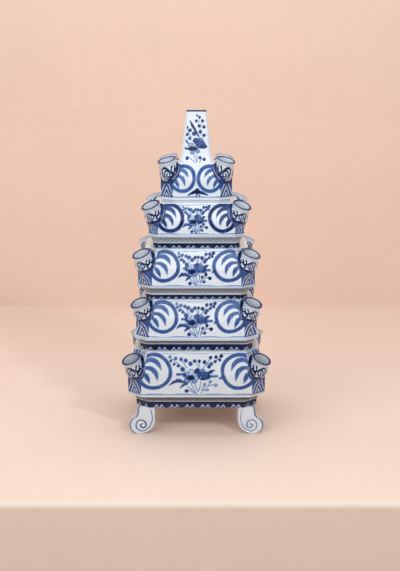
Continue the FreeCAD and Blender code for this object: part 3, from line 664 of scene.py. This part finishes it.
def arrowheads(across, up, peak):
    """Nested white and blue arrowheads under a spout; peak is where the outermost comes to its point.

    Height plus 1.7 times the distance from the middle, as a share of the peak, picks the shade."""
    rise = (up + 1.7 * np.abs(across)) / peak
    edges = (0, 0.17, 0.22, 0.37, 0.42, 0.60, 0.65, 0.81, 0.86, 1.18, 1.23, 1.36, 1.41, 1.60)
    shades = (0.97, 0.97, 0.03, 0.03, 0.84, 0.84, 0.03, 0.03, 0.70, 0.70, 0.03, 0.03, 0.6, 0.6)
    return np.interp(rise, edges, shades)


def corner_paint(inner, place, peak):
    """Cobalt and grey on a cut corner; inner is 1 beside the front or back and -1 beside a flank.

    Arrowheads lie below the spout. Above it the flank's half has blue stripes, a shade for each
    share of the way out, and the other half a grey scribble, the product of two waves."""
    run, up = place.T
    high = up > peak + 6
    edges = (0, 0.06, 0.10, 0.28, 0.33, 0.42, 0.47, 0.72, 0.77, 0.86, 0.91)
    shades = (0.9, 0.9, 0.62, 0.62, 0.03, 0.03, 0.7, 0.7, 0.03, 0.03, 0.85)
    above = np.where(inner > 0, 0.0, np.interp(-inner, edges, shades))
    scribble = 0.5 + 0.5 * np.sin(run * 1.5 + up * 1.1) * np.sin(up * 0.8)
    hatched = (inner > 0.12) & (inner < 0.90) & high
    return np.where(high, above, arrowheads(run, up, peak)), 0.75 * hatched * scribble


# Boxes. Four pressed walls, upright at the foot and leaning in above a soft crease, luted to a
# flat lid with a round opening; a passage is cut through each corner for its spout.
def spout_axis(tier, cx, cy, bottom, height):
    """Where one spout's axis meets its cut corner, and which way it leans.

    The corner's distance out is a straight share of the way from the crease to the top; the axis
    leans out along the corner's diagonal by the sine of its lean."""
    rise = (tier["seat"] - tier["crease"]) / (height - tier["crease"])
    foot = sum(tier["box"])
    out = (foot + (sum(tier["top"]) - foot) * rise) / 2
    lean = math.radians(tier["lean"])
    seat = np.array([cx * out, cy * out, bottom + tier["seat"]])
    level = math.sin(lean) / math.sqrt(2)
    return seat, np.array([cx * level, cy * level, math.cos(lean)])


def box_profile(tier, bottom, top):
    """Up the outside, in over the lid to its opening, back under the lid and down the inside.

    Under the lid the inside is one wall in from the outside's place at that share of the lean."""
    (bh, bf), (th, tf) = tier["box"], tier["top"]
    crease, opening = tier["crease"], tier["opening"]
    share = WALL / (top - bottom - crease)
    line = [(bh, bf, bottom, 0, 0, 1), (bh, bf, bottom + crease, 0, 7, 1.3), (th, tf, top, 0, 2.6, 1.3)]
    line += [(opening + 10, opening + 10, top, 1, 0, 4), (opening, opening, top, 1, 1.5, 2)]
    line.append((opening, opening, top - WALL, 1, 1.5, 2))
    under_lid = (th + (bh - th) * share - WALL, tf + (bf - tf) * share - WALL_FLAT)
    line.append(under_lid + (top - WALL, 0, 3, 8))
    line.append((bh - WALL, bf - WALL_FLAT, bottom + crease, 0, 6, 4))
    line += [(bh - WALL, bf - WALL_FLAT, bottom, 0, 0.8, 4), (bh - 0.8, bf - 0.3, bottom, 0, 0, 3)]
    return soft_line(line)


def box_paint(tier, ring, profile, outside, bottom, height):
    """Cobalt and grey on the outside, one of eight sides at a time.

    A point's run is its share along the side times half the side's length there. The four broad
    sides waver by a small sine, as a hand does."""
    number = tier["number"]
    shape = (len(profile), len(ring["side"]))
    # Each box starts grey by its tier's painted shade.
    cobalt, grey = np.zeros(shape), np.full(shape, LOW_TIER_PAINTED_SHADE[number])
    half, flat, level = profile[outside, :3].T
    edge_lines = [(0.6, 1.3, 0.60)] + [(height - 3.4, 0.9, 0.40)] * (number < 5)
    for side in range(8):
        columns = ring["side"] == side
        reach = flat if side < 4 else (half - flat) * math.sqrt(0.5)
        run = reach[:, None] * ring["along"][columns][None, :]
        up = np.broadcast_to((level - bottom)[:, None], run.shape)
        place = np.stack([run.ravel(), up.ravel()], 1)
        if side < 4:
            place = place + 0.55 * np.sin(place[:, ::-1] * 0.11 + side * 1.9 + number)
            laid = np.zeros(len(place))
            panel(laid, place, tier, height)
        else:
            inner = np.broadcast_to(ring["along"][columns] * (-1) ** (side + 1), run.shape).ravel()
            laid, scribble = corner_paint(inner, place, tier["peak"])
            grey[np.ix_(outside, columns)] += scribble.reshape(run.shape)
        for line_level, width, depth in edge_lines:
            stroke(laid, place, [(-160, line_level), (160, line_level)], width, depth)
        cobalt[np.ix_(outside, columns)] = laid.reshape(run.shape)
    return cobalt, grey


def box(tier):
    """The box's profile swept round its cut square, less the points that lie in a spout's passage.

    A point's distance from an axis is what is left of its offset once the part along it is off."""
    number, opening = tier["number"], tier["opening"]
    passage_radius, passage_start, passage_end, halo_radius = 14.9, -46, 12, 23.2
    node = "tier_%d_box" % number
    bottom, top = levels_of(node)
    height = top - bottom
    profile = box_profile(tier, bottom, top)
    ring = cut_square_ring(tier["box"][0], tier["box"][1], 1.3)
    points = pressed_surface(ring, profile)
    outside = np.arange(len(profile)) < np.argmax(profile[:, 3] > 0.02)
    cobalt, grey = box_paint(tier, ring, profile, outside, bottom, height)
    lid = (profile[:, 2] > top - 0.4) & (profile[:, 3] > 0.02)
    from_middle = np.linalg.norm(points[:, :, :2], axis=2)
    round_line = np.clip(1.3 - np.abs(from_middle - opening - 5), 0, 1)
    cobalt = np.where(lid[:, None], np.maximum(cobalt, 0.5 * round_line), cobalt)
    bored = np.zeros(cobalt.shape, bool)
    for _, cx, cy in CORNERS:
        seat, direction = spout_axis(tier, cx, cy, bottom, height)
        offset = points - seat
        along = offset @ direction
        away = np.linalg.norm(offset - along[:, :, None] * direction, axis=2)
        bored |= (away < passage_radius) & (along > passage_start) & (along < passage_end)
        above_girdle = (tier["reach"] - along) < tier["girdle"] + 3
        halo = np.clip((halo_radius - away) / 1.2, 0, 1) * outside[:, None] * above_girdle
        cobalt = np.maximum(cobalt, 0.78 * halo)
    top_edge = (np.abs(profile[:, 2] - top) < 1.6) & outside
    thin = np.where(top_edge[:, None], 0.14, 0.0) * np.ones(cobalt.shape)
    fired_piece(node, points, {"cobalt": cobalt, "grey": grey, "thin": thin}, number, dropped=bored)


# Spouts. Thrown on the wheel, rolled at the lip and luted over the passage with slip; a broad blue
# ring runs square round the root, a scroll winds above it, and the heel below it joins the corner.
LIP = (
    (14.0, 2.2), (14.3, 0.9), (15.2, 0.15), (16.3, 0.0), (17.5, 0.3), (18.3, 1.2), (18.5, 2.4),
    (18.3, 3.9), (17.6, 5.4),
)
LIP_BLUE = (0.60, 0.86, 0.92, 0.80, 0.40)
SCROLL_STROKES = (
    (((0.2, 1.0), (-4.2, 2.6), (-5.4, 7.0), (-2.0, 10.4), (2.8, 9.2), (4.0, 5.4), (1.2, 3.6),
      (-1.6, 5.2), (-0.4, 7.4)), 1.7),
    (((-11.0, 12.6), (-9.6, 8.6), (-8.4, 4.0), (-9.0, 1.0)), (1.4, 2.8, 2.6, 1.4)),
    (((-9.4, 11.4), (-5.0, 13.2), (0.6, 12.4), (4.6, 10.2)), (1.2, 2.2, 2.0, 1.4)),
    (((4.6, 10.2), (8.4, 7.0), (12.4, 6.4), (15.4, 9.0), (19.0, 12.8)), (1.4, 3.2, 3.0, 3.0, 1.6)),
    (((9.2, 6.4), (8.0, 2.8), (11.0, 1.0)), (2.6, 2.6, 1.4)),
    (((8.0, 8.4), (10.4, 12.2), (13.6, 13.2)), (1.6, 2.4, 1.2)),
    (((15.4, 9.0), (18.6, 6.2), (21.6, 7.0), (21.0, 10.0)), (2.2, 2.6, 2.2, 1.4)),
)


def spout_body(depth, heel_end):
    """Radius at a depth below the mouth, in straight pieces from the lip to the end of the heel."""
    return np.interp(depth, (0, 1.2, 3.8, 9, 25, heel_end), (17.3, 18.5, 18.5, 16.4, 20.2, 15.2))


def spout_root(tier, mouth, direction, radial, outward, bottom, top):
    """Depth, for each column, at which the body's side first lies inside the corner it is luted to."""
    crease, height = tier["crease"], top - bottom
    foot, head = sum(tier["box"]) / math.sqrt(2), sum(tier["top"]) / math.sqrt(2)
    heel_end = tier["reach"] + 24
    depths = np.arange(2, 60, 0.25)
    side = radial * spout_body(depths, heel_end)[:, None, None]
    trial = mouth - direction * depths[:, None, None] + side
    leaning = np.clip((trial[:, :, 2] - bottom - crease) / (height - crease), 0, 1)
    buried = (trial @ outward < foot + (head - foot) * leaning) & (trial[:, :, 2] < top)
    return np.minimum(np.where(buried.any(0), depths[buried.argmax(0)], 36), heel_end - 1)


def spout_rows(heel_end, root):
    """Depth and radius of every point: over the lip, down the body, then up the bore.

    The body's radius has a step to meet the lip, and slip that swells the root and dies away as
    e to the minus distance; the bore is a plain cylinder. The third value marks lip and body."""
    lip_radius, lip_depth = np.array(LIP).T[:, :, None]
    bore_radius, bore_top, lip_end, past_root = 14.0, 3.0, lip_depth[-1, 0], 2.2
    around = np.ones(len(root))
    depth = lip_end + (root + past_root - lip_end) * np.linspace(0, 1, 54)[1:, None]
    step = (lip_radius[-1, 0] - spout_body(lip_end, heel_end)) * np.clip((8 - depth) / 2.6, 0, 1)
    slip = 2.4 * np.exp(-np.maximum(root - depth, 0) / 2.2)
    bore = bore_top + (root + 6.0 - bore_top) * np.linspace(1, 0, 10)[:-1, None]
    depths = np.vstack([lip_depth * around, depth, bore])
    body = spout_body(depth, heel_end) + step + slip
    radii = np.vstack([lip_radius * around, body, np.full(bore.shape, bore_radius)])
    outer = np.arange(len(depths))[:, None] < len(LIP) + len(depth)
    return depths, radii, np.broadcast_to(outer, depths.shape)


def spout_paint(tier, depth, root, outer, up, sideways, run):
    """Blue ring with a dark edge, arrowheads on the heel, a lined lip and a scroll three times round.

    Run is millimetres round the tube; the scroll's height is stretched from 14 mm to the room
    between ring and lip."""
    girdle = np.minimum(root - 2.4, tier["girdle"])
    ring = np.clip((3.0 - np.abs(depth - girdle)) / 0.8 + 0.5, 0, 1)
    dark_edge = np.clip((0.8 - np.abs(depth - girdle + 2.6)) / 0.8 + 0.5, 0, 1)
    on_body = outer & (depth > 7)
    cobalt = np.where(on_body, np.maximum(0.78 * ring, 0.94 * dark_edge), 0.0)
    heel = outer & (depth > girdle + 3.2) & (up < tier["peak"] + 8)
    cobalt = np.where(heel, arrowheads(sideways, up, tier["peak"]), cobalt)
    cobalt[1:6] = np.array(LIP_BLUE)[:, None]
    rise = (tier["girdle"] - 3.2 - depth) * 14 / (tier["girdle"] - 12.7)
    scroll = on_body & (rise > -0.5) & (rise < 14.8) & (depth < girdle - 2.6)
    run = np.broadcast_to(run, depth.shape)[scroll]
    laid = np.zeros(len(run))
    around, third, offset = 113.1, 37.7, 10.0
    for start in (-third, 0, third):
        place = np.mod(run - offset - start + around / 2, around) - around / 2
        place = np.stack([place, rise[scroll]], 1)
        for points, width in SCROLL_STROKES:
            stroke(laid, place, points, width, 1.0, soft=0.7)
    cobalt[scroll] = np.maximum(cobalt[scroll], laid)
    return cobalt


def spout(tier, corner, cx, cy):
    """A tube whose points are mouth less depth times the axis, plus radius times the way out of it."""
    number = tier["number"]
    bottom, top = levels_of("tier_%d_box" % number)
    seat, direction = spout_axis(tier, cx, cy, bottom, top - bottom)
    outward = np.array([cx, cy, 0]) / math.sqrt(2)
    across = np.array([-cy, cx, 0]) / math.sqrt(2)
    mouth = seat + direction * tier["reach"]
    turn = np.linspace(-np.pi, np.pi, 145)[:-1]
    radial = np.cos(turn)[:, None] * np.cross(across, direction) + np.sin(turn)[:, None] * across
    root = spout_root(tier, mouth, direction, radial, outward, bottom, top)
    depth, radius, outer = spout_rows(tier["reach"] + 24, root)
    points = mouth - direction * depth[:, :, None] + radial * radius[:, :, None]
    hand, tube_radius = 1 if cx * cy > 0 else -1, 18.0
    up, run = points[:, :, 2] - bottom, hand * turn * tube_radius
    cobalt = spout_paint(tier, depth, root, outer, up, points @ across, run)
    # Each spout is painted a little grey all over, plus its tier's painted shade.
    marks = {"cobalt": cobalt[::-1], "grey": np.full(depth.shape, 0.06 + LOW_TIER_PAINTED_SHADE[number])}
    fired_piece("tier_%d_spout_%s" % (number, corner), points[::-1], marks, number)


for tier in TIERS:
    tray(tier)
    box(tier)
    for corner, cx, cy in CORNERS:
        spout(tier, corner, cx, cy)


# Neck. A tall tapering square chimney, open at the top, flared where it is luted to the top lid;
# its rim is lined in blue and each side carries a slim version of the same spray.
NECK_DOTS = (
    (0.8, 88.1, 4.0, 0.98), (5.8, 85.0, 5.6, 0.92), (-0.2, 77.7, 5.8, 0.84), (11.9, 78.2, 6.0, 0.90),
    (5.6, 68.6, 6.0, 0.88), (15.1, 66.9, 6.2, 0.90), (8.1, 57.8, 6.6, 0.94), (15.4, 51.3, 6.2, 0.92),
    (-18.0, 65.2, 5.4, 0.82), (-12.2, 59.8, 6.8, 0.88), (-4.3, 53.8, 8.4, 0.78), (-18.6, 52.1, 6.4, 0.84),
    (-13.4, 44.7, 6.8, 0.66), (7.3, 9.0, 6.0, 0.94), (15.4, 6.1, 6.0, 0.94), (-17.8, 7.8, 6.6, 0.94),
)
NECK_STROKES = (
    (((-12.8, 77.7), (-7.6, 68.6), (-0.6, 58.4), (4.1, 49.3)), (1.4, 5.2, 4.0, 3.0), 0.88),
    (((-22.1, 41.9), (-16.9, 35.7)), (3.8, 2.6), 0.88), (((-24.4, 27.1), (-18.6, 25.4)), (4.8, 2.8), 0.92),
    (((-0.6, -1.8), (-7.6, 3.9), (-13.9, 8.4)), 1.1, 0.66), (((1.2, 0), (-5.2, 15.2)), 1.1, 0.66),
    (((1.7, 2.7), (1.2, 18.6)), 1.1, 0.66), (((5.2, 0), (11.1, 7.3)), 1.1, 0.66),
    (((12.2, 45.9), (7.6, 61.8), (11.6, 78.2)), 1.0, 0.55), (((4.1, 72.0), (5.8, 85.0)), 1.0, 0.55),
    (((-9.9, 45.9), (-15.7, 56.1), (-18.0, 65.2)), 1.0, 0.6),
    (((-2, 38), (1, 31), (8, 27.5), (17, 29)), 2.8, 0.92),
)
NECK_PETALS = (
    (7.6, 35.0, 21, 15, -0.3, 0.70, 0.1), (13.5, 30.5, 15, 8, -0.1, 0.84, 0.1),
    (-1.7, 41.3, 12, 9, 0.4, 0.78, 0.15), (9.0, 42.5, 12, 7, -0.6, 0.62, 0.3),
    (-12.2, 32.5, 11, 8, 0.4, 0.46, 0.6), (-3.4, 33.0, 10, 8, 0, 0.40, 0.6),
    (-7.6, 18.8, 10, 8, 0.5, 0.56, 0.5), (2.4, 21.6, 10, 8, -0.4, 0.60, 0.5),
    (-7.5, 25.6, 20, 8, 0.05, 0.94, 0),
)


def neck_side(place):
    """Cobalt of one side: the spray's strokes, dots and petals, each over the last where deeper."""
    laid = np.zeros(len(place))
    for points, widths, depth in NECK_STROKES:
        stroke(laid, place, points, widths, depth, 0.1)
    for x, z, size, depth in NECK_DOTS:
        dab(laid, place, (x, z), size, depth, 0.1)
    for x, z, long, short, tilt, depth, hollow in NECK_PETALS:
        dab(laid, place, (x, z), (long, short), depth, hollow, tilt)
    return laid


def neck():
    """The chimney's profile swept round a cut square: up the outside, over the rim, down the bore."""
    node = "tier_5_neck"
    bottom, top = levels_of(node)
    flare_top = bottom + 7
    line = [(33, 25, bottom, 0, 0, 1), (29.6, 24.6, flare_top, 0, 5, 1), (18.9, 15.6, top, 0, 1.6, 1)]
    line += [(14.4, 13.7, top, 0, 1.6, 1), (25.1, 22.7, flare_top, 0, 3, 4)]
    line += [(25.1, 22.7, bottom, 0, 0.5, 3), (32, 24.6, bottom, 0, 0, 3)]
    profile = soft_line(line)
    ring = cut_square_ring(29.6, 24.6, 0.95, 2.0)
    points = pressed_surface(ring, profile)
    outside = np.arange(len(profile)) < np.argmax(profile[:, 2] > top - 0.01)
    cobalt = np.zeros(points.shape[:2])
    up = profile[outside, 2] - bottom
    for side in range(4):
        columns = ring["side"] == side
        run = profile[outside, 1][:, None] * ring["along"][columns][None, :]
        place = np.stack([run.ravel(), np.broadcast_to(up[:, None], run.shape).ravel()], 1)
        place = place + 0.4 * np.sin(place[:, ::-1] * 0.13 + side * 2.3)
        cobalt[np.ix_(outside, columns)] = neck_side(place).reshape(run.shape)
    rim = np.clip((profile[:, 2] - (top - 3.4)) / 0.7, 0, 1) * (profile[:, 0] > 15.5)
    cobalt = np.maximum(cobalt, 0.92 * rim[:, None])
    fired_piece(node, points, {"cobalt": cobalt}, 5)


neck()


# Studio. The piece stands on a plain pale table in front of a plain pale wall, lit softly from the
# front left; the table's front edge shows below, and the camera stands where the photographer did.
def paper(name, light, dark, outline):
    """A sheet that runs along x on an outline in y and z; it is clear when seen from its back."""
    across = np.linspace(-3, 3, 5)
    wide = len(across)
    y, z = np.array(outline).T[:, :, None]
    points = np.stack(np.broadcast_arrays(across, y, z), 2).reshape(-1, 3)
    first = (np.arange(len(outline) - 1)[:, None] * wide + np.arange(wide - 1)).ravel()
    faces = np.stack([first, first + 1, first + 1 + wide, first + wide], 1)
    mesh = bpy.data.meshes.new(name)
    mesh.from_pydata(points.tolist(), [], faces.tolist())
    mesh.polygons.foreach_set("use_smooth", [True] * len(faces))
    material = bpy.data.materials.new(name)
    material.use_nodes = True
    surface = material.node_tree.nodes["Principled BSDF"]
    mottle = calculate(material, "MULTIPLY_ADD", cloud(material, 70, 4), 0.8, -0.4)
    tone = blend(material, calculate(material, "ADD", cloud(material, 3.5, 5), mottle), light, dark)
    nodes, links = material.node_tree.nodes, material.node_tree.links
    links.new(tone, surface.inputs["Base Color"])
    surface.inputs["Roughness"].default_value = 0.9
    surface.inputs["Specular IOR Level"].default_value = 0.1
    side, clear = nodes.new("ShaderNodeNewGeometry"), nodes.new("ShaderNodeBsdfTransparent")
    either = nodes.new("ShaderNodeMixShader")
    links.new(side.outputs["Backfacing"], either.inputs[0])
    links.new(surface.outputs[0], either.inputs[1])
    links.new(clear.outputs[0], either.inputs[2])
    links.new(either.outputs[0], nodes["Material Output"].inputs["Surface"])
    mesh.materials.append(material)
    sheet = bpy.data.objects.new(name, mesh)
    bpy.context.scene.collection.objects.link(sheet)


front, rounding, wall_y, below = -0.451, 0.010, 1.11, -1.5
quarter_turn = np.linspace(0, math.pi / 2, 9)
rounded = [(front + rounding * (1 - math.cos(a)), -rounding * (1 - math.sin(a))) for a in quarter_turn]
paper("table", (0.84, 0.66, 0.56), (0.78, 0.605, 0.505), rounded + [(-0.2, 0.0), (0.4, 0.0), (wall_y, 0.0)])
paper("table_edge", (0.87, 0.62, 0.48), (0.82, 0.58, 0.445), [(front, below), rounded[0]])
paper("wall", (0.85, 0.62, 0.50), (0.78, 0.565, 0.45), [(wall_y, z) for z in (-0.2, 0.6, 1.5, 3.5)])


def soft_light(name, place, target, size, power, colour):
    """A rectangular lamp, turned so that it faces its target."""
    light = bpy.data.lights.new(name, "AREA")
    light.shape = "RECTANGLE"
    light.size, light.size_y = size
    light.energy = power
    light.color = colour
    lamp = bpy.data.objects.new(name, light)
    lamp.location = place
    aim = np.array(target) - np.array(place)
    tilt, heading = math.atan2(math.hypot(aim[0], aim[1]), -aim[2]), math.atan2(-aim[0], aim[1])
    lamp.rotation_euler = (tilt, 0, heading)
    bpy.context.scene.collection.objects.link(lamp)


soft_light("window_left", (-1.5, -1.9, 1.6), (0, 0, 0.5), (1.8, 1.6), 28, (0.95, 0.98, 1.0))
soft_light("lamp_right", (1.3, -2.4, 1.8), (0, 0, 0.4), (0.3, 0.3), 28, (0.97, 0.98, 1.0))
soft_light("front_fill", (0.0, -2.3, 1.3), (0, 0, 0.5), (1.6, 0.8), 8, (0.97, 0.98, 1.0))
soft_light("overhead", (0.0, 0.15, 2.2), (0, 0.25, 0), (1.8, 1.4), 21, (0.99, 0.99, 1.0))

world = bpy.data.worlds.new("room")
world.use_nodes = True
world.node_tree.nodes["Background"].inputs["Color"].default_value = (0.95, 0.97, 1.0, 1)
world.node_tree.nodes["Background"].inputs["Strength"].default_value = 0.35
bpy.context.scene.world = world
bpy.context.scene.view_settings.view_transform = "Standard"

lens = bpy.data.cameras.new("camera")
lens.sensor_fit = "HORIZONTAL"
lens.sensor_width = 36
lens.lens = 91.1
camera = bpy.data.objects.new("camera", lens)
camera.location = (0.0068, -1.968, 0.632)
camera.rotation_euler = (math.radians(90 - 10.49), 0, 0)
bpy.context.scene.collection.objects.link(camera)
bpy.context.scene.camera = camera
